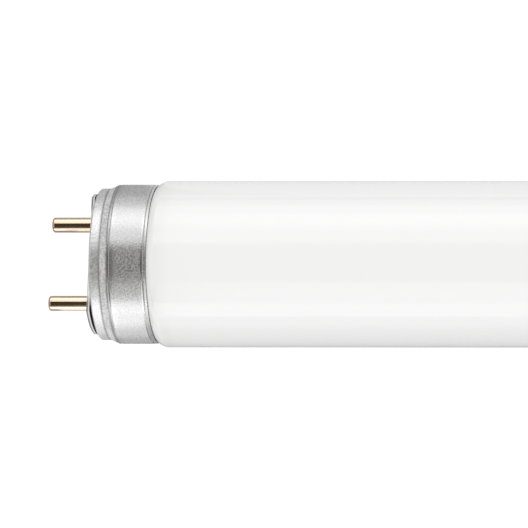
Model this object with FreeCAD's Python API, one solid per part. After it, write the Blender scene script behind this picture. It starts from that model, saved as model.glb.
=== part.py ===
import FreeCAD, Part
import math
import os

# A straight fluorescent lamp with a two-pin cap at each end, in millimetres.
# Its axis is X, the two pins of each cap lie level along Y, and the origin is the middle of the lamp.
# The left end is at -X. The right end is its mirror image.

V = FreeCAD.Vector
LAMP_AXIS = V(1, 0, 0)
MIDDLE = V(0, 0, 0)

# Whole lamp
FACE_TO_FACE = 589.8  # outer face of one insulator to that of the other

# Glass bulb
TUBE_DIA = 26.0
GLASS_WALL = 0.6
SHOULDER_ANGLE = 65.0  # between the shoulder's cone and the axis
SHOULDER_ROUND = 2.0
NECK_ROUND = 0.5
RIM_GAP = 0.05  # along the axis, from the shell's rim to the shoulder
STEM_BORE = 7.0
FLARE_ROUND = 7.0
STEM_DEPTH = 21.0  # from the glass's end to the bottom of the stem
PRESS_THICK = 5.0
PRESS_ROUND = 2.0
EXHAUST_DIA = 3.4
EXHAUST_LENGTH = 10.0
EXHAUST_TIP_ROUND = 1.5

# Aluminium shell
SHELL_SHEET = 0.28
SHELL_LENGTH = 9.25
SKIRT_DIA = 24.9
STEP_HEIGHT = 0.6  # the collar at the end is smaller than the skirt by this all round
COLLAR_LENGTH = 1.75
RAMP_LENGTH = 1.35
CORNER_ROUND = 1.0
RAMP_ROUND = 0.6
LINE_ROUND = 0.3  # of the lines rolled into the skirt
LINE_DEPTH = 0.09
STEP_LINE = 0.2  # from the top of the ramp to the first line
RIM_LINE = 0.55  # from the second line to the rim
RIM_DROP = 0.12  # by which the strip past the second line closes in on the glass

# Insulating plates
INSULATOR_MARGIN = 0.85  # from the edge of the plate to the side of the collar
INSULATOR_FLATS = 12.0  # across the two flats
INSULATOR_PROUD = 0.92
INSULATOR_EDGE_ROUND = 0.15
LIP_GAP = 0.38  # under the rim of the plate, clear of the shell's corner
LIP_WIDTH = 1.1
SPIGOT_DIA = 4.6
SPIGOT_CLEARANCE = 0.05
BACKING_MARGIN = 1.35  # from the edge of the inner plate to the shell's corner rounding
BACKING_THICK = 0.8

# Contact pins
PIN_SPACING = 12.7
PIN_DIA = 2.35
PIN_LENGTH = 7.05
PIN_TIP_ROUND = 0.45
PIN_BASE_ROUND = 0.2
PIN_TIP_THICK = 0.8
PIN_BORE = 1.2
SHANK_DIA = 1.7
RIVET_DIA = 3.6
RIVET_THICK = 0.35

# Lead wires
LEAD_DIA = 0.6
LEAD_BEND = 2.4  # radius of the wire's centre line at its two bends
LEAD_STRAIGHT = 1.2  # between a rivet and the corner of the first bend
LEAD_SLANT = 4.2  # length along the axis between the corners of the two bends

# Cement and the room behind the rivets
CEMENT_THICK = 0.9
CEMENT_SETBACK = 0.9  # from the rim, and from the ramp
GLASS_CLEARANCE = 1.6  # between the rivets and the glass

# Places along the axis at the left end
face_x = -FACE_TO_FACE / 2
wall_x = face_x + INSULATOR_PROUD
ramp_start_x = wall_x + COLLAR_LENGTH
ramp_end_x = ramp_start_x + RAMP_LENGTH
rim_x = wall_x + SHELL_LENGTH
backing_x = wall_x + SHELL_SHEET
rivet_x = backing_x + BACKING_THICK
rivet_end_x = rivet_x + RIVET_THICK
glass_end_x = rivet_end_x + GLASS_CLEARANCE
stem_x = glass_end_x + STEM_DEPTH
pin_tip_x = face_x - PIN_LENGTH
bore_end_x = pin_tip_x + PIN_TIP_THICK

# Places across the axis
pin_y = PIN_SPACING / 2
skirt_r = SKIRT_DIA / 2
skirt_bore_r = skirt_r - SHELL_SHEET
rim_r = skirt_r - RIM_DROP
collar_r = skirt_r - STEP_HEIGHT
neck_r = skirt_bore_r - CEMENT_THICK
plate_r = collar_r - INSULATOR_MARGIN
backing_r = collar_r - CORNER_ROUND - BACKING_MARGIN
stem_lead_y = (EXHAUST_DIA + STEM_BORE) / 4


def rounded(corners):
    """Edges along the corners (x, radius from the axis, rounding), with a tangent arc at each rounded corner.
    Two roundings that don't both fit on the straight between them are made smaller until they do."""
    points = [V(x, radius, 0) for x, radius, _ in corners]
    inner = range(1, len(points) - 1)
    halves = {i: (points[i - 1] - points[i]).getAngle(points[i + 1] - points[i]) / 2 for i in inner}
    reaches = [0] + [corners[i][2] / math.tan(halves[i]) for i in inner] + [0]
    for i in range(len(points) - 1):
        straight = points[i].distanceToPoint(points[i + 1])
        needed = reaches[i] + reaches[i + 1]
        if needed > straight:
            reaches[i] *= straight / needed
            reaches[i + 1] *= straight / needed
    edges = []
    last = points[0]
    for i in inner:
        back = (points[i - 1] - points[i]).normalize()
        ahead = (points[i + 1] - points[i]).normalize()
        start = points[i] + back * reaches[i]
        end = points[i] + ahead * reaches[i]
        if not last.isEqual(start, 1e-6):
            edges.append(Part.LineSegment(last, start).toShape())
        if reaches[i] > 0:
            depth = reaches[i] / math.cos(halves[i]) - reaches[i] * math.tan(halves[i])
            middle = points[i] + (back + ahead).normalize() * depth
            edges.append(Part.Arc(start, middle, end).toShape())
        last = end
    if not last.isEqual(points[-1], 1e-6):
        edges.append(Part.LineSegment(last, points[-1]).toShape())
    return edges


def turned(edges):
    """The solid that a closed outline makes when it is turned about the lamp's axis."""
    outline = Part.Wire(Part.__sortEdges__(edges))
    return Part.Face(outline).revolve(MIDDLE, LAMP_AXIS, 360)


def closed_by_axis(edges, first_x, last_x):
    """The same edges with the stretch of the axis that closes them."""
    return edges + [Part.LineSegment(V(last_x, 0, 0), V(first_x, 0, 0)).toShape()]


def disc(start_x, end_x, radius):
    """A plain disc or drum around the lamp's axis."""
    return Part.makeCylinder(radius, end_x - start_x, V(start_x, 0, 0), LAMP_AXIS)


def rod(start_x, end_x, dia, y):
    """A round rod parallel to the axis, level with it and y to the side."""
    return Part.makeCylinder(dia / 2, end_x - start_x, V(start_x, y, 0), LAMP_AXIS)


def end_outline(inset):
    """One end of the bulb from the stem to the tube: the outside, or inset by the wall, the space within."""
    slope = math.radians(SHOULDER_ANGLE)
    tube_r = TUBE_DIA / 2
    stem_r = STEM_BORE / 2 + inset
    end_x = glass_end_x + inset
    shoulder_x = rim_x + RIM_GAP + (tube_r - rim_r) / math.tan(slope)
    neck_x = rim_x + RIM_GAP + (neck_r - rim_r) / math.tan(slope)
    shift = inset * math.tan(slope / 2)
    if inset:
        press_x = stem_x + PRESS_THICK
        middle = [(press_x, 0, 0), (press_x, stem_r, PRESS_ROUND)]
    else:
        tip_x = stem_x - EXHAUST_LENGTH
        exhaust_r = EXHAUST_DIA / 2
        tip = [(tip_x, 0, 0), (tip_x, exhaust_r, EXHAUST_TIP_ROUND)]
        middle = tip + [(stem_x, exhaust_r, 0), (stem_x, stem_r, 0)]
    return middle + [
        (end_x, stem_r, FLARE_ROUND - inset),
        (end_x, neck_r - inset, GLASS_WALL - inset),
        (neck_x + shift, neck_r - inset, NECK_ROUND + inset),
        (shoulder_x + shift, tube_r - inset, SHOULDER_ROUND - inset),
        (0, tube_r - inset, 0),
    ]


def glass_tube():
    """The sealed bulb: a tube drawn in to a neck at each end, where a flared stem closes it."""
    solids = []
    for inset in (0, GLASS_WALL):
        corners = end_outline(inset)
        left = rounded(corners)
        right = [edge.mirror(MIDDLE, LAMP_AXIS) for edge in left]
        first_x = corners[0][0]
        solids.append(turned(closed_by_axis(left + right, first_x, -first_x)))
    outside, inside = solids
    return outside.removeSplitter().cut(inside.removeSplitter())


def shell_outline(inset):
    """The shell from its end wall's middle to its rim: the outside, or inset by the sheet, the inside.
    The rim is cut to the slope of the glass's shoulder."""
    ramp_shift = inset * math.tan(math.atan2(STEP_HEIGHT, RAMP_LENGTH) / 2)
    rim_shift = inset * math.tan(math.atan2(RIM_DROP, RIM_LINE) / 2)
    rim_lean = inset / math.tan(math.radians(SHOULDER_ANGLE))
    corners = [
        (wall_x + inset, 0, 0),
        (wall_x + inset, collar_r - inset, CORNER_ROUND - inset),
        (ramp_start_x + ramp_shift, collar_r - inset, RAMP_ROUND + inset),
        (ramp_end_x + ramp_shift, skirt_r - inset, RAMP_ROUND - inset),
        (rim_x - RIM_LINE - rim_shift, skirt_r - inset, 0),
        (rim_x - rim_lean, rim_r - inset, 0),
    ]
    if inset:
        corners.append((rim_x, rim_r, 0))
    return corners + [(rim_x, 0, 0)]


def cap_shell():
    """A drawn aluminium cup: a stepped skirt with a line rolled in at each end, and holes for the spigots."""
    outside, inside = [
        turned(closed_by_axis(rounded(shell_outline(inset)), wall_x + inset, rim_x))
        for inset in (0, SHELL_SHEET)
    ]
    shell = outside.cut(inside)
    line_r = skirt_r + LINE_ROUND - LINE_DEPTH
    for x in (ramp_end_x + STEP_LINE, rim_x - RIM_LINE):
        shell = shell.cut(Part.makeTorus(line_r, LINE_ROUND, V(x, 0, 0), LAMP_AXIS))
    hole_dia = SPIGOT_DIA + 2 * SPIGOT_CLEARANCE
    return shell.cut([rod(wall_x, backing_x, hole_dia, y) for y in (-pin_y, pin_y)])


def flatted_disc(start_x, end_x, radius, flats):
    """A disc about the axis with two flats, above and below the line of the pins."""
    slab = Part.makeBox(end_x - start_x, 2 * radius, flats, V(start_x, -radius, -flats / 2))
    return disc(start_x, end_x, radius).common(slab)


def insulator():
    """The plate on the end wall, cut back under its lip, with a spigot for each pin through the wall."""
    lip = flatted_disc(face_x, wall_x - LIP_GAP, plate_r, INSULATOR_FLATS)
    edges = [e for e in lip.Edges if abs(e.BoundBox.XMax - face_x) < 1e-6]
    lip = lip.makeFillet(INSULATOR_EDGE_ROUND, edges)
    pad = flatted_disc(wall_x - LIP_GAP, wall_x, plate_r - LIP_WIDTH, INSULATOR_FLATS - 2 * LIP_WIDTH)
    spigots = [rod(wall_x, backing_x, SPIGOT_DIA, y) for y in (-pin_y, pin_y)]
    plate = lip.fuse([pad] + spigots).removeSplitter()
    return plate.cut([rod(face_x, backing_x, SHANK_DIA, y) for y in (-pin_y, pin_y)])


def backing_plate():
    """The round inner plate that the pins are riveted over."""
    plate = disc(backing_x, rivet_x, backing_r)
    return plate.cut([rod(backing_x, rivet_x, SHANK_DIA, y) for y in (-pin_y, pin_y)])


def pin(y):
    """A hollow pin: its shoulder sits on the insulator and its thinner shank is riveted inside."""
    pin_r = PIN_DIA / 2
    outline = rounded([
        (pin_tip_x, 0, 0),
        (pin_tip_x, pin_r, PIN_TIP_ROUND),
        (face_x, pin_r, PIN_BASE_ROUND),
        (face_x, SHANK_DIA / 2, 0),
        (rivet_x, SHANK_DIA / 2, 0),
        (rivet_x, RIVET_DIA / 2, 0),
        (rivet_end_x, RIVET_DIA / 2, 0),
        (rivet_end_x, PIN_BORE / 2, 0),
        (bore_end_x, PIN_BORE / 2, 0),
        (bore_end_x, 0, 0),
    ])
    solid = turned(closed_by_axis(outline, pin_tip_x, bore_end_x))
    solid.translate(V(0, y, 0))
    return solid


def lead(side):
    """A wire from the bottom of the stem to the end of a pin's bore, with two bends inside the cap."""
    bend_x = rivet_end_x + LEAD_STRAIGHT
    path = rounded([
        (bore_end_x, pin_y, 0),
        (bend_x, pin_y, LEAD_BEND),
        (bend_x + LEAD_SLANT, stem_lead_y, LEAD_BEND),
        (stem_x, stem_lead_y, 0),
    ])
    section = Part.Wire(Part.makeCircle(LEAD_DIA / 2, V(bore_end_x, pin_y, 0), LAMP_AXIS))
    wire = Part.Wire(path).makePipeShell([section], True, False)
    return wire if side > 0 else wire.mirror(MIDDLE, V(0, 1, 0))


def cement():
    """The ring of cement between the skirt and the neck of the glass."""
    start_x = ramp_end_x + CEMENT_SETBACK
    end_x = rim_x - CEMENT_SETBACK
    return disc(start_x, end_x, skirt_bore_r).cut(disc(start_x, end_x, neck_r))


left_end = {
    "cap_shell": cap_shell(),
    "insulator": insulator(),
    "backing_plate": backing_plate(),
    "front_pin": pin(-pin_y),
    "rear_pin": pin(pin_y),
    "front_lead": lead(-1),
    "rear_lead": lead(1),
    "cement": cement(),
}
pieces = {"glass_tube": glass_tube()}
for name, solid in left_end.items():
    pieces["left_" + name] = solid
    pieces["right_" + name] = solid.mirror(MIDDLE, LAMP_AXIS)

os.makedirs("parts", exist_ok=True)
for name, solid in pieces.items():
    solid.exportStep("parts/" + name + ".step")
    state = "valid" if solid.isValid() else "INVALID"
    print(name, len(solid.Solids), state, round(solid.Volume, 3))
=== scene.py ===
import bmesh
import bpy
import math
from mathutils import Matrix, Vector


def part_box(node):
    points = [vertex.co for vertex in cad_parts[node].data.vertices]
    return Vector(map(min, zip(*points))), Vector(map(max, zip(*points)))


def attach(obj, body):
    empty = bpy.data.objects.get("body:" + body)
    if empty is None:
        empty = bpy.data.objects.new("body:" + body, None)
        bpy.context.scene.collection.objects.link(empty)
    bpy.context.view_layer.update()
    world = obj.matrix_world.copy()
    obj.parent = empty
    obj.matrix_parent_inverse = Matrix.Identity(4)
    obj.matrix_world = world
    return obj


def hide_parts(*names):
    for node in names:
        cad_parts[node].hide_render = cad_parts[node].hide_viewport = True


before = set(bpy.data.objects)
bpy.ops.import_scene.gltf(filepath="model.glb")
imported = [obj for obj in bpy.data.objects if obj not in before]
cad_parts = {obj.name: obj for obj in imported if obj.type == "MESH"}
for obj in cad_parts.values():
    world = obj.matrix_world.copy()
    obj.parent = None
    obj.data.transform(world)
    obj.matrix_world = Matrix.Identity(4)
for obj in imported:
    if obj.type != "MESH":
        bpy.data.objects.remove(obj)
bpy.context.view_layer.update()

# Glass bulb
# The lamp's body is one tube of soda-lime glass, drawn in to a neck at each end and sealed by a flared stem.
# White phosphor coats its inner wall, so it looks like glossy porcelain. Cement in the caps grips its necks.

MM = 0.001
SAME_PLACE = 0.01 * MM
ROUND_SIDES = 160
SHARP_ANGLE = math.radians(35)
bulb_low, bulb_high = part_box("glass_tube")
shell_low, shell_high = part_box("left_cap_shell")
rim_x = shell_high.x
skirt_radius = shell_high.y
sheet = 0.28 * MM
rim_drop = 0.12 * MM
rim_gap = 0.05 * MM
rim_radius = skirt_radius - rim_drop
tube_radius = bulb_high.y
cement_thick = 0.9 * MM
neck_radius = skirt_radius - sheet - cement_thick
neck_round = 0.5 * MM
shoulder_round = 2.0 * MM
shoulder_slope = math.radians(65)
shoulder_x = rim_x + rim_gap + (tube_radius - rim_radius) / math.tan(shoulder_slope)
neck_x = shoulder_x - (tube_radius - neck_radius) / math.tan(shoulder_slope)
seal_round = 0.6 * MM
stem_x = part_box("left_front_lead")[1].x
stem_radius = 3.5 * MM
flare_round = 7.0 * MM
exhaust_length = 10.0 * MM
exhaust_x = stem_x - exhaust_length
exhaust_radius = 1.7 * MM
exhaust_tip_round = 1.5 * MM


def select_edges(piece, wanted):
    """Selects, in edit mode, the edges whose two ends both pass a test on their place, and nothing else."""
    bpy.ops.mesh.select_mode(type="EDGE")
    bpy.ops.mesh.select_all(action="DESELECT")
    mesh = bmesh.from_edit_mesh(piece.data)
    for edge in mesh.edges:
        if all(wanted(corner.co) for corner in edge.verts):
            edge.select_set(True)
    bmesh.update_edit_mesh(piece.data)


def outward():
    """Turns every face of the closed piece in edit mode outwards."""
    bpy.ops.mesh.select_all(action="SELECT")
    bpy.ops.mesh.normals_make_consistent(inside=False)


def turned(name, corners, sides=ROUND_SIDES, steps=8):
    """A closed round piece: a disc is extruded along the lamp's axis from corner to corner, and the corners are
    then rounded. Each corner is an x, a radius and a rounding."""
    bpy.ops.object.select_all(action="DESELECT")
    x, radius, _ = corners[0]
    bpy.ops.mesh.primitive_circle_add(
        vertices=sides, radius=radius, fill_type="NGON", location=(x, 0, 0), rotation=(0, math.pi / 2, 0)
    )
    piece = bpy.context.object
    piece.name = name
    bpy.ops.object.transform_apply()
    bpy.ops.object.mode_set(mode="EDIT")
    for (x, radius, _), (next_x, next_radius, _) in zip(corners, corners[1:]):
        bpy.ops.mesh.extrude_region_move(TRANSFORM_OT_translate={"value": (next_x - x, 0, 0)})
        size = next_radius / radius
        bpy.ops.transform.resize(value=(1, size, size), center_override=(next_x, 0, 0))
    outward()
    outline = [(corners[0][0], 0)] + [corner[:2] for corner in corners] + [(corners[-1][0], 0)]
    for before, (x, radius, rounding), after in zip(outline, corners, outline[2:]):
        if rounding:
            turn = (Vector((x, radius)) - Vector(before)).angle(Vector(after) - Vector((x, radius)))
            select_edges(piece, lambda co: abs(co.x - x) + abs(co.yz.length - radius) < SAME_PLACE)
            cut_back = rounding * math.tan(turn / 2)
            bpy.ops.mesh.bevel(offset=cut_back, segments=steps, profile=0.5, affect="EDGES")
    bpy.ops.object.mode_set(mode="OBJECT")
    return piece


def smoothed(piece):
    """Smooth shading that keeps straight stretches true and sharp edges sharp."""
    bpy.ops.object.select_all(action="DESELECT")
    piece.select_set(True)
    bpy.context.view_layer.objects.active = piece
    bpy.ops.object.shade_smooth_by_angle(angle=SHARP_ANGLE)
    bpy.ops.object.modifier_add(type="WEIGHTED_NORMAL")
    piece.modifiers[-1].keep_sharp = True
    bpy.ops.object.modifier_apply(modifier=piece.modifiers[-1].name)


left_corners = [
    (exhaust_x, exhaust_radius, exhaust_tip_round),
    (stem_x, exhaust_radius, 0),
    (stem_x, stem_radius, 0),
    (bulb_low.x, stem_radius, flare_round),
    (bulb_low.x, neck_radius, seal_round),
    (neck_x, neck_radius, neck_round),
    (shoulder_x, tube_radius, shoulder_round),
]
right_corners = [(-x, radius, rounding) for x, radius, rounding in reversed(left_corners)]
bulb = turned("bulb", left_corners + right_corners)
smoothed(bulb)


def new_finish(name):
    """A material with its shader's node, and a node for the place on the piece."""
    finish = bpy.data.materials.new(name)
    finish.use_nodes = True
    nodes = finish.node_tree.nodes
    place = nodes.new("ShaderNodeTexCoord").outputs["Object"]
    return finish, finish.node_tree.links, nodes, nodes["Principled BSDF"], place


def new_group(name, places, numbers, answer):
    """A shader node group with named sockets: places and plain numbers go in, and one number comes out."""
    group = bpy.data.node_groups.new(name, "ShaderNodeTree")
    for socket in places:
        group.interface.new_socket(socket, in_out="INPUT", socket_type="NodeSocketVector")
    for socket in numbers:
        group.interface.new_socket(socket, in_out="INPUT", socket_type="NodeSocketFloat")
    group.interface.new_socket(answer, in_out="OUTPUT", socket_type="NodeSocketFloat")
    return group, group.nodes.new("NodeGroupInput"), group.nodes.new("NodeGroupOutput")


grain_group, given, result = new_group("grain", ("Place", "Stretch"), ("Grains per metre", "Detail"), "Grain")
drawn_out = grain_group.nodes.new("ShaderNodeMapping")
pattern = grain_group.nodes.new("ShaderNodeTexNoise")
grain_group.links.new(given.outputs["Place"], drawn_out.inputs["Vector"])
grain_group.links.new(given.outputs["Stretch"], drawn_out.inputs["Scale"])
grain_group.links.new(drawn_out.outputs["Vector"], pattern.inputs["Vector"])
grain_group.links.new(given.outputs["Grains per metre"], pattern.inputs["Scale"])
grain_group.links.new(given.outputs["Detail"], pattern.inputs["Detail"])
grain_group.links.new(pattern.outputs["Fac"], result.inputs["Grain"])


def noise(nodes, links, place, per_metre, detail, stretch=(1, 1, 1)):
    """Soft random values over the surface, so many to a metre, which may be drawn out along an axis."""
    grain = nodes.new("ShaderNodeGroup")
    grain.node_tree = grain_group
    grain.inputs["Stretch"].default_value = stretch
    grain.inputs["Grains per metre"].default_value = per_metre
    grain.inputs["Detail"].default_value = detail
    links.new(place, grain.inputs["Place"])
    return grain.outputs["Grain"]


def blend(nodes, links, value, stops):
    """Colours, or greys for a plain number, set out along a value from 0 to 1."""
    ramp = nodes.new("ShaderNodeValToRGB")
    points = ramp.color_ramp.elements
    while len(points) < len(stops):
        points.new(0.5)
    for point, (at, colour) in zip(points, stops):
        point.position = at
        point.color = (*colour, 1) if isinstance(colour, tuple) else (colour, colour, colour, 1)
    links.new(value, ramp.inputs["Fac"])
    return ramp.outputs["Color"]


def bumpy(nodes, links, height, shader, strength, depth):
    """Presses a height pattern into the surface."""
    bump = nodes.new("ShaderNodeBump")
    bump.inputs["Strength"].default_value = strength
    bump.inputs["Distance"].default_value = depth
    links.new(height, bump.inputs["Height"])
    links.new(bump.outputs["Normal"], shader.inputs["Normal"])


reach_group, given, result = new_group("reach", ("Place",), ("Near", "Far"), "Reach")
parts = reach_group.nodes.new("ShaderNodeSeparateXYZ")
distance = reach_group.nodes.new("ShaderNodeMath")
distance.operation = "ABSOLUTE"
between = reach_group.nodes.new("ShaderNodeMapRange")
reach_group.links.new(given.outputs["Place"], parts.inputs["Vector"])
reach_group.links.new(parts.outputs["X"], distance.inputs[0])
reach_group.links.new(distance.outputs["Value"], between.inputs["Value"])
reach_group.links.new(given.outputs["Near"], between.inputs["From Min"])
reach_group.links.new(given.outputs["Far"], between.inputs["From Max"])
reach_group.links.new(between.outputs["Result"], result.inputs["Reach"])


def along_axis(nodes, links, place, near, far):
    """A value from 0 to 1, as the distance along the axis from the lamp's middle goes from near to far."""
    reach = nodes.new("ShaderNodeGroup")
    reach.node_tree = reach_group
    reach.inputs["Near"].default_value = near
    reach.inputs["Far"].default_value = far
    links.new(place, reach.inputs["Place"])
    return reach.outputs["Reach"]


coated_glass, links, nodes, shader, place = new_finish("coated_glass")
# Over the last 7 mm before each cap the coating's colour darkens: painted shade beside the cap.
cap_shade_length = 7 * MM
by_the_caps = along_axis(nodes, links, place, -rim_x - cap_shade_length, -rim_x)
coating = blend(nodes, links, by_the_caps, [
    (0, (0.9, 0.9, 0.897)),
    (0.5, (0.89, 0.89, 0.886)),
    (1, (0.81, 0.81, 0.804)),
])
links.new(coating, shader.inputs["Base Color"])
cloud = noise(nodes, links, place, per_metre=60, detail=4)
links.new(blend(nodes, links, cloud, [(0.3, 0.26), (0.7, 0.34)]), shader.inputs["Roughness"])
shader.inputs["Coat Weight"].default_value = 1.0
shader.inputs["Coat Roughness"].default_value = 0.12
shader.inputs["Specular IOR Level"].default_value = 0.0
bulb.data.materials.append(coated_glass)
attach(bulb, "root")
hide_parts("glass_tube")

# Lead wires
# A plated wire runs from the bottom of the stem to each pin.
# It is bent twice inside the cap and soldered in the pin's bore.

lead_wire, links, nodes, shader, place = new_finish("lead_wire")
draw_marks = noise(nodes, links, place, per_metre=900, detail=3, stretch=(0.05, 1, 1))
plating = blend(nodes, links, draw_marks, [(0.3, (0.5, 0.43, 0.36)), (0.7, (0.68, 0.6, 0.52))])
links.new(plating, shader.inputs["Base Color"])
links.new(blend(nodes, links, draw_marks, [(0.3, 0.42), (0.7, 0.28)]), shader.inputs["Roughness"])
shader.inputs["Metallic"].default_value = 1.0
for node in ("left_front_lead", "left_rear_lead", "right_front_lead", "right_rear_lead"):
    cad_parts[node].material_slots[0].material = lead_wire

# Cement
# A ring of baked cement fills the space between each cap's skirt and the neck of the glass.
# It holds the cap on.

cement, links, nodes, shader, place = new_finish("cement")
crumb = noise(nodes, links, place, per_metre=1200, detail=6)
buff = blend(nodes, links, crumb, [(0.3, (0.5, 0.46, 0.39)), (0.7, (0.7, 0.66, 0.58))])
links.new(buff, shader.inputs["Base Color"])
links.new(blend(nodes, links, crumb, [(0.3, 0.95), (0.7, 0.8)]), shader.inputs["Roughness"])
bumpy(nodes, links, crumb, shader, strength=0.5, depth=0.1 * MM)
for node in ("left_cement", "right_cement"):
    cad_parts[node].material_slots[0].material = cement

# Cap shells
# Each end wears a cup drawn from thin aluminium sheet: a rounded end, a narrow collar, a step up to the skirt,
# and a line rolled in at each end of the skirt. Its end wall has two holes for the insulator's spigots.

step_height = 0.6 * MM
collar_radius = skirt_radius - step_height
collar_length = 1.75 * MM
ramp_x = shell_low.x + collar_length
ramp_length = 1.35 * MM
ramp_round = 0.6 * MM
ramp_shift = sheet / 5
ramp_top_round = 0.3 * MM
corner_depth = 0.26 * MM
corner_width = 0.59 * MM
corner_end_round = 1.8 * MM
corner_side_round = 0.29 * MM
corner_inner_round = 0.72 * MM
line_depth = 0.09 * MM
line_half = 0.21 * MM
line_edge_round = 0.12 * MM
line_floor_round = 0.2 * MM
step_line_x = ramp_x + ramp_length + 0.2 * MM
rim_line_x = rim_x - 0.55 * MM
rim_edge_round = 0.03 * MM
hole_radius = 2.35 * MM
hole_sides = 48
pin_y = (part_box("left_rear_pin")[0].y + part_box("left_rear_pin")[1].y) / 2


def rolled_line(x):
    """A shallow groove pressed into the skirt, whose first edge by the collar is also the top of the ramp."""
    return [
        (x - line_half, skirt_radius, line_edge_round),
        (x, skirt_radius - line_depth, line_floor_round),
        (x + line_half, skirt_radius, line_edge_round),
    ]


def cut_round(piece, radius, start_x, end_x, y, operation="DIFFERENCE"):
    """Cuts a round hole along the axis through a piece, or adds a round boss to it."""
    bpy.ops.object.select_all(action="DESELECT")
    bpy.ops.mesh.primitive_cylinder_add(
        vertices=hole_sides,
        radius=radius,
        depth=end_x - start_x,
        location=((start_x + end_x) / 2, y, 0),
        rotation=(0, math.pi / 2, 0),
    )
    tool = bpy.context.object
    bpy.ops.object.transform_apply()
    bpy.context.view_layer.objects.active = piece
    bpy.ops.object.modifier_add(type="BOOLEAN")
    piece.modifiers[-1].operation = operation
    piece.modifiers[-1].solver = "EXACT"
    piece.modifiers[-1].object = tool
    bpy.ops.object.modifier_apply(modifier=piece.modifiers[-1].name)
    bpy.data.objects.remove(tool)


collar = [
    (shell_low.x, collar_radius - corner_width, corner_end_round),
    (shell_low.x + corner_depth, collar_radius, corner_side_round),
    (ramp_x, collar_radius, ramp_round),
]
rim = [
    (rim_x, rim_radius, rim_edge_round),
    (rim_x - sheet / math.tan(shoulder_slope), rim_radius - sheet, 0),
    (rim_line_x, skirt_radius - sheet, 0),
    (ramp_x + ramp_length + ramp_shift, skirt_radius - sheet, ramp_top_round),
    (ramp_x + ramp_shift, collar_radius - sheet, ramp_round + sheet),
    (shell_low.x + sheet, collar_radius - sheet, corner_inner_round),
]
left_shell = turned("left_shell", collar + rolled_line(step_line_x) + rolled_line(rim_line_x) + rim)
for y in (-pin_y, pin_y):
    cut_round(left_shell, hole_radius, shell_low.x - sheet, shell_low.x + 2 * sheet, y)


def mirrored(piece, name):
    """A copy of a left-end piece, with its own mesh, at the right end."""
    bpy.ops.object.select_all(action="DESELECT")
    piece.select_set(True)
    bpy.context.view_layer.objects.active = piece
    bpy.ops.object.duplicate(linked=False)
    copy = bpy.context.object
    copy.name = name
    bpy.ops.object.mode_set(mode="EDIT")
    bpy.ops.mesh.select_all(action="SELECT")
    bpy.ops.transform.resize(value=(-1, 1, 1), center_override=(0, 0, 0))
    outward()
    bpy.ops.object.mode_set(mode="OBJECT")
    return copy


def banded(nodes, links, along, stops):
    """Values set out along a shell from the rim to the end wall, each at its x on the left shell."""
    return blend(nodes, links, along, [((x - rim_x) / (shell_low.x - rim_x), value) for x, value in stops])


def combined(nodes, links, first, second, how="MULTIPLY"):
    """Two patterns made into one, by multiplying them or by keeping the lighter of the two."""
    both = nodes.new("ShaderNodeMix")
    both.data_type = "RGBA"
    both.blend_type = how
    both.inputs["Factor"].default_value = 1.0
    links.new(first, both.inputs["A"])
    links.new(second, both.inputs["B"])
    return both.outputs["Result"]


shell_aluminium, links, nodes, shader, place = new_finish("shell_aluminium")
etch = noise(nodes, links, place, per_metre=3400, detail=5)
clouds = noise(nodes, links, place, per_metre=500, detail=4)
along = along_axis(nodes, links, place, -rim_x, -shell_low.x)
# Painted shade darkens the rolled lines and the foot of the ramp.
groove_shade = banded(nodes, links, along, [
    (rim_line_x + 0.28 * MM, 0.72),
    (rim_line_x + 0.2 * MM, 0.52),
    (rim_line_x + 0.02 * MM, 0.52),
    (rim_line_x - 0.08 * MM, 0.72),
    (step_line_x + 0.3 * MM, 0.72),
    (step_line_x + 0.15 * MM, 0.52),
    (step_line_x - 0.3 * MM, 0.4),
    (step_line_x - 0.5 * MM, 0.86),
    (ramp_x + 0.26 * MM, 0.86),
    (ramp_x + 0.06 * MM, 0.46),
    (ramp_x - 0.06 * MM, 0.46),
    (ramp_x - 0.24 * MM, 0.87),
])
# The rolls leave barer metal beside the lines.
burnish = banded(nodes, links, along, [
    (rim_line_x + 0.08 * MM, 0.0),
    (rim_line_x - 0.04 * MM, 0.95),
    (rim_line_x - 0.2 * MM, 0.95),
    (rim_line_x - 0.36 * MM, 0.45),
    (step_line_x + 1.7 * MM, 0.45),
    (step_line_x + 0.5 * MM, 0.86),
    (step_line_x - 0.1 * MM, 0.9),
    (step_line_x - 0.25 * MM, 0.0),
])
mottle = blend(nodes, links, etch, [(0.4, (0.85, 0.85, 0.85)), (0.6, (0.755, 0.755, 0.755))])
# The ramp, and the collar a little, are pitted.
pits = blend(nodes, links, etch, [(0.4, 1.0), (0.6, 0.82)])
unpitted = banded(nodes, links, along, [
    (step_line_x - 0.2 * MM, 1.0),
    (step_line_x - 0.4 * MM, 0.0),
    (ramp_x + 0.1 * MM, 0.0),
    (ramp_x - 0.1 * MM, 0.9),
])
shade_and_pits = combined(nodes, links, groove_shade, combined(nodes, links, pits, unpitted, "LIGHTEN"))
links.new(combined(nodes, links, mottle, shade_and_pits), shader.inputs["Base Color"])
matt = blend(nodes, links, clouds, [(0.3, 0.52), (0.7, 0.44)])
# The ramp is duller than the skirt and the collar.
worked = banded(nodes, links, along, [
    (step_line_x - 0.3 * MM, 0.55),
    (step_line_x - 0.5 * MM, 1.2),
    (ramp_x + 0.1 * MM, 1.2),
    (ramp_x - 0.1 * MM, 0.72),
])
links.new(combined(nodes, links, matt, worked), shader.inputs["Roughness"])
bumpy(nodes, links, etch, shader, strength=0.4, depth=0.05 * MM)
bare = blend(nodes, links, etch, [(0.4, 0.54), (0.6, 0.77)])
links.new(combined(nodes, links, bare, burnish, "LIGHTEN"), shader.inputs["Metallic"])
right_shell = mirrored(left_shell, "right_shell")
for shell, node in ((left_shell, "left_cap_shell"), (right_shell, "right_cap_shell")):
    smoothed(shell)
    shell.data.materials.append(shell_aluminium)
    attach(shell, "root")
    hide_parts(node)

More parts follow.
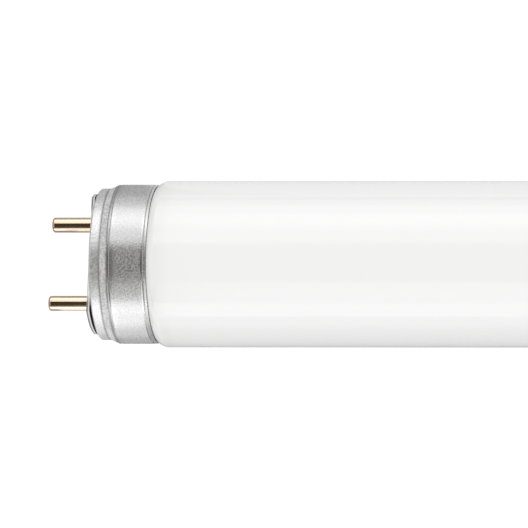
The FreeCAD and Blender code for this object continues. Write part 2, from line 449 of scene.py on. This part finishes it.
# Insulating plates
# A pale pressed plate on the outside of each end wall keeps the pins off the aluminium. It has two flats,
# a lip that stands clear of the shell's corner, and a spigot round each pin that goes through the wall.

plate_low, plate_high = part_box("left_insulator")
plate_radius = plate_high.y
plate_flat = plate_high.z
plate_edge_round = 0.15 * MM
lip_gap = 0.38 * MM
lip_x = shell_low.x - lip_gap
lip_width = 1.1 * MM
shade_start_y = 6 * MM
shade_full_y = 9 * MM
spigot_radius = 2.3 * MM
shank_radius = 0.85 * MM
bpy.ops.object.select_all(action="DESELECT")
bpy.ops.mesh.primitive_circle_add(
    vertices=ROUND_SIDES,
    radius=plate_radius,
    fill_type="NGON",
    location=(plate_low.x, 0, 0),
    rotation=(0, math.pi / 2, 0),
)
left_plate = bpy.context.object
left_plate.name = "left_plate_insulator"
bpy.ops.object.transform_apply()
bpy.ops.object.mode_set(mode="EDIT")
for side in (-1, 1):
    bpy.ops.mesh.select_all(action="SELECT")
    bpy.ops.mesh.bisect(plane_co=(0, 0, side * plate_flat), plane_no=(0, 0, side), clear_outer=True)
bpy.ops.mesh.select_all(action="SELECT")
bpy.ops.mesh.extrude_region_move(TRANSFORM_OT_translate={"value": (lip_x - plate_low.x, 0, 0)})
bpy.ops.mesh.inset(thickness=lip_width)
bpy.ops.mesh.extrude_region_move(TRANSFORM_OT_translate={"value": (shell_low.x - lip_x, 0, 0)})
outward()
select_edges(left_plate, lambda co: abs(co.x - plate_low.x) < SAME_PLACE)
bpy.ops.mesh.bevel(offset=plate_edge_round, segments=4, profile=0.5, affect="EDGES")
bpy.ops.object.mode_set(mode="OBJECT")
for y in (-pin_y, pin_y):
    cut_round(left_plate, spigot_radius, lip_x, plate_high.x, y, "UNION")
    cut_round(left_plate, shank_radius, plate_low.x - sheet, plate_high.x + sheet, y)

insulator, links, nodes, shader, place = new_finish("insulator")
fibre = noise(nodes, links, place, per_metre=900, detail=5)
out_of_the_gap = along_axis(nodes, links, place, -lip_x, -plate_low.x)
pale = blend(nodes, links, fibre, [(0.3, (0.8, 0.79, 0.77)), (0.7, (0.92, 0.915, 0.9))])
# Painted shade fills the gap behind the lip and, more broadly, darkens the lip's side on the two round ends.
# A darker line also runs near the lip's outer edge.
gap_shade_and_edge_line = blend(nodes, links, out_of_the_gap, [
    (0, 0.04),
    (0.15, 1.0),
    (0.68, 1.0),
    (0.8, 0.62),
    (0.9, 0.62),
    (0.98, 1.0),
])
lip_side_shade = blend(nodes, links, out_of_the_gap, [(0.3, 1.0), (0.5, 0.3), (0.94, 0.3), (0.99, 1.0)])
quarter_turn = nodes.new("ShaderNodeMapping")
quarter_turn.inputs["Rotation"].default_value = (0, 0, math.pi / 2)
links.new(place, quarter_turn.inputs["Vector"])
to_round_ends = along_axis(nodes, links, quarter_turn.outputs["Vector"], shade_start_y, shade_full_y)
unshaded_flats = blend(nodes, links, to_round_ends, [(0.2, 1.0), (0.8, 0.0)])
round_end_shade = combined(nodes, links, lip_side_shade, unshaded_flats, "LIGHTEN")
plate_shade_and_line = combined(nodes, links, gap_shade_and_edge_line, round_end_shade)
links.new(combined(nodes, links, pale, plate_shade_and_line), shader.inputs["Base Color"])
links.new(blend(nodes, links, fibre, [(0.3, 0.6), (0.7, 0.48)]), shader.inputs["Roughness"])
bumpy(nodes, links, fibre, shader, strength=0.2, depth=0.03 * MM)
right_plate = mirrored(left_plate, "right_plate_insulator")
for plate, node in ((left_plate, "left_insulator"), (right_plate, "right_insulator")):
    smoothed(plate)
    plate.data.materials.append(insulator)
    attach(plate, "root")
    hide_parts(node)

# Backing plates
# A round plate of brown fibre lies inside each end wall.
# The pins are riveted over it.

backing_fibre, links, nodes, shader, place = new_finish("backing_fibre")
layers = noise(nodes, links, place, per_metre=700, detail=5, stretch=(6, 1, 1))
brown = blend(nodes, links, layers, [(0.3, (0.3, 0.18, 0.1)), (0.7, (0.46, 0.3, 0.19))])
links.new(brown, shader.inputs["Base Color"])
links.new(blend(nodes, links, layers, [(0.3, 0.7), (0.7, 0.55)]), shader.inputs["Roughness"])
for node in ("left_backing_plate", "right_backing_plate"):
    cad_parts[node].material_slots[0].material = backing_fibre

# Contact pins
# Two hollow brass pins stand out of each cap. Their shoulders sit on the insulator and their thinner shanks are
# riveted inside, where a lead wire from the glass ends in each bore.

pin_low, pin_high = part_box("left_rear_pin")
pin_radius = 1.175 * MM
pin_tip_round = 0.45 * MM
pin_base_round = 0.2 * MM
rivet_radius = pin_high.y - pin_y
rivet_thick = 0.35 * MM
bore_radius = 0.6 * MM
bore_end_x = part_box("left_rear_lead")[0].x
pin_sides = 64
pin_corners = [
    (pin_low.x, pin_radius, pin_tip_round),
    (plate_low.x, pin_radius, pin_base_round),
    (plate_low.x, shank_radius, 0),
    (pin_high.x - rivet_thick, shank_radius, 0),
    (pin_high.x - rivet_thick, rivet_radius, 0),
    (pin_high.x, rivet_radius, 0),
    (pin_high.x, bore_radius, 0),
    (bore_end_x, bore_radius, 0),
]

pin_brass, links, nodes, shader, place = new_finish("pin_brass")
pin_length = plate_low.x - pin_low.x
out_along = along_axis(nodes, links, place, -plate_low.x, -pin_low.x)
draw_lines = noise(nodes, links, place, per_metre=2600, detail=3, stretch=(0.06, 1, 1))
# Painted shade darkens the foot where it meets the plate, and the tip is worn and coppery.
brass = blend(nodes, links, out_along, [
    (0.15 * MM / pin_length, (0.06, 0.05, 0.04)),
    (0.3 * MM / pin_length, (0.81, 0.67, 0.52)),
    (1 - 0.6 * MM / pin_length, (0.8, 0.64, 0.47)),
    (1, (0.58, 0.35, 0.21)),
])
links.new(brass, shader.inputs["Base Color"])
links.new(blend(nodes, links, draw_lines, [(0.3, 0.14), (0.7, 0.08)]), shader.inputs["Roughness"])
bumpy(nodes, links, draw_lines, shader, strength=0.1, depth=0.02 * MM)
shader.inputs["Metallic"].default_value = 1.0
for end, y in (("front", -pin_y), ("rear", pin_y)):
    left_pin = turned("left_" + end + "_contact", pin_corners, sides=pin_sides)
    bpy.ops.object.mode_set(mode="EDIT")
    bpy.ops.mesh.select_all(action="SELECT")
    bpy.ops.transform.translate(value=(0, y, 0))
    bpy.ops.object.mode_set(mode="OBJECT")
    right_pin = mirrored(left_pin, "right_" + end + "_contact")
    for pin, side in ((left_pin, "left_"), (right_pin, "right_")):
        smoothed(pin)
        pin.data.materials.append(pin_brass)
        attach(pin, "root")
        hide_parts(side + end + "_pin")

# Floor
# The lamp lies on a plain white table top, lit from within so that no shadow shows on it.

floor_size = 60
top_white = 0.85
top_shade = 0.42
shade_reach = 0.25
glow_strength = 1.05
bpy.ops.object.select_all(action="DESELECT")
bpy.ops.mesh.primitive_plane_add(size=floor_size, location=(0, 0, -tube_radius))
floor = bpy.context.object
floor.name = "floor"
white_top, links, nodes, shader, place = new_finish("white_top")
shader.inputs["Roughness"].default_value = 0.9
shader.inputs["Specular IOR Level"].default_value = 0.0
glow = nodes.new("ShaderNodeEmission")
glow.inputs["Strength"].default_value = glow_strength
seen = nodes.new("ShaderNodeLightPath")
either = nodes.new("ShaderNodeMixShader")
parts = nodes.new("ShaderNodeSeparateXYZ")
beside = nodes.new("ShaderNodeMapRange")
beside.inputs["From Min"].default_value = -shade_reach
beside.inputs["From Max"].default_value = shade_reach
links.new(place, parts.inputs["Vector"])
links.new(parts.outputs["Y"], beside.inputs["Value"])
# Polished surfaces see it darker close to the lamp, as in the shade of the lamp itself.
under = blend(nodes, links, beside.outputs["Result"], [
    (0.34, top_white),
    (0.44, top_shade),
    (0.8, top_shade),
    (0.95, top_white),
])
top_colour = nodes.new("ShaderNodeMix")
top_colour.data_type = "RGBA"
top_colour.inputs["A"].default_value = (top_white, top_white, top_white, 1)
links.new(seen.outputs["Is Glossy Ray"], top_colour.inputs["Factor"])
links.new(under, top_colour.inputs["B"])
links.new(top_colour.outputs["Result"], shader.inputs["Base Color"])
links.new(seen.outputs["Is Camera Ray"], either.inputs["Fac"])
links.new(shader.outputs["BSDF"], either.inputs[1])
links.new(glow.outputs["Emission"], either.inputs[2])
links.new(either.outputs["Shader"], nodes["Material Output"].inputs["Surface"])
floor.data.materials.append(white_top)

# Camera
# It looks almost straight down on the left end of the lamp, turned a little towards the middle of the tube.

VIEW_YAW = math.radians(9.99)
VIEW_ELEVATION = math.radians(74.7)
VIEW_DISTANCE = 3.0
VIEW_WIDTH = 82.55 * MM
VIEW_MIDDLE = Vector((26.79 * MM, 0.04 * MM, 0))
target = Vector((plate_low.x, 0, 0)) + VIEW_MIDDLE
across = Vector((0, -math.cos(VIEW_ELEVATION), math.sin(VIEW_ELEVATION)))
back = (math.sin(VIEW_YAW) * Vector((1, 0, 0)) + math.cos(VIEW_YAW) * across).normalized()
up = Vector((0, math.sin(VIEW_ELEVATION), math.cos(VIEW_ELEVATION)))
right = up.cross(back)
camera_data = bpy.data.cameras.new("camera")
camera_data.sensor_width = 36
camera_data.lens = camera_data.sensor_width * VIEW_DISTANCE / VIEW_WIDTH
camera_data.clip_start = 0.1
camera_data.clip_end = 50
camera = bpy.data.objects.new("camera", camera_data)
turn = Matrix((right, up, back)).transposed().to_4x4()
camera.matrix_world = Matrix.Translation(target + back * VIEW_DISTANCE) @ turn
bpy.context.scene.collection.objects.link(camera)
bpy.context.scene.camera = camera
bpy.context.scene.view_settings.view_transform = "Standard"

# Studio light
# A white tent lights the matt surfaces evenly, and long soft boxes draw the highlights along the lamp.
# A few boxes serve the tube or the cap alone. Pale cards on the table lift the lower edges of both.

ALONG = Vector((1, 0, 0))
CARD_LIFT = 1 * MM


def area_light(name, length, width, radiance):
    """An even rectangular light that the camera doesn't see and that, unless changed, only reflections show."""
    light = bpy.data.lights.new(name, "AREA")
    light.shape = "RECTANGLE"
    light.size = length
    light.size_y = width
    light.energy = radiance * math.pi * length * width
    lamp = bpy.data.objects.new(name, light)
    lamp.visible_camera = False
    lamp.visible_diffuse = False
    bpy.context.scene.collection.objects.link(lamp)
    return lamp


def aim(lamp, middle, right, away):
    """Puts a light in its place, with its length along one direction and its back to another."""
    turn = Matrix((right, away.cross(right), away)).transposed().to_4x4()
    lamp.matrix_world = Matrix.Translation(middle) @ turn


def soft_box(name, degrees, distance, left_x, length, width, radiance):
    """A light parallel to the lamp, turned about its axis from the camera's side towards the rear."""
    angle = math.radians(degrees)
    away = math.cos(angle) * across + math.sin(angle) * up
    box = area_light(name, length, width, radiance)
    aim(box, ALONG * (left_x + length / 2) + away * distance, ALONG, away)
    return box


# The rim mirrors these two places, so the boxes for the tube begin and the one for the cap ends there.
tube_left = rim_x - 0.086
cap_right = rim_x - 0.097
cap_length = 0.5
for name, degrees, distance, left_x, length, width, radiance in (
    ("rear_soft_box", 73, 0.55, -0.7, 1.9, 0.32, 0.62),
    ("rear_wide_box", 65, 0.6, -0.7, 1.9, 0.88, 1.02),
    ("front_soft_box", -70, 0.55, -0.7, 1.9, 0.28, 1.72),
    ("front_wide_box", -66, 0.6, -0.7, 1.9, 0.55, 0.27),
    ("front_tube_box", -40, 0.5, tube_left, 1.4, 0.28, 1.05),
    ("rear_tube_box", 60, 0.5, tube_left, 1.4, 0.24, 0.64),
    ("rear_cap_box", 37, 0.55, cap_right - cap_length, cap_length, 0.14, 0.6),
):
    soft_box(name, degrees, distance, left_x, length, width, radiance)
for name, right_x, rear_y, length, width, slant, radiance in (
    ("cap_far_card", rim_x - 0.0069, -0.053, 0.1, 0.42, VIEW_YAW, 1.15),
    ("cap_middle_card", rim_x - 0.0038, -0.0355, 0.1, 0.0178, VIEW_YAW, 0.9),
    ("cap_near_card", rim_x - 0.0014, -0.022, 0.0115, 0.0137, VIEW_YAW, 0.62),
    ("skirt_card", rim_x, -0.014, 0.0115, 0.0081, VIEW_YAW, 0.18),
    ("collar_card", rim_x - 0.0115, -0.014, 0.006, 0.017, VIEW_YAW, 0.8),
    ("rear_cap_card", rim_x - 0.106, 0.6, 0.1, 0.5, -VIEW_YAW, 0.22),
    ("front_tube_card", 0.8, -0.05, 1.1, 0.27, 0, 0.28),
    ("rear_tube_card", 0.8, 0.24, 1.09, 0.22, 0, 0.35),
):
    card = area_light(name, length, width, radiance)
    card.matrix_world = (
        Matrix.Translation((right_x, rear_y, CARD_LIFT - tube_radius))
        @ Matrix.Rotation(-slant, 4, "Z")
        @ Matrix.Translation((-length / 2, -width / 2, 0))
        @ Matrix.Rotation(math.pi, 4, "X")
    )
overhead = soft_box("overhead", degrees=-10, distance=0.9, left_x=-1.2, length=2.4, width=1.3, radiance=0.055)
overhead.data.color = (1.1, 0.9, 0.68)
top_box = soft_box("top_box", degrees=5, distance=1.3, left_x=-1.2, length=2.4, width=1.8, radiance=0.24)
top_box.visible_diffuse = True
top_box.visible_glossy = False
end_away = Vector((-0.82, 0, 0.57)).normalized()
end_distance = 0.55
end_shift = Vector((0, 0.25, 0))
end_middle = Vector((shell_low.x, 0, 0)) + end_shift + end_away * end_distance
end_card = area_light("end_card", length=0.5, width=1.4, radiance=0.7)
aim(end_card, end_middle, Vector((0, 1, 0)).cross(end_away), end_away)
tent = bpy.data.worlds.new("tent")
tent.use_nodes = True
tent.node_tree.nodes["Background"].inputs["Color"].default_value = (1, 1, 1, 1)
tent.node_tree.nodes["Background"].inputs["Strength"].default_value = 0.92
bpy.context.scene.world = tent
tent.cycles_visibility.glossy = False
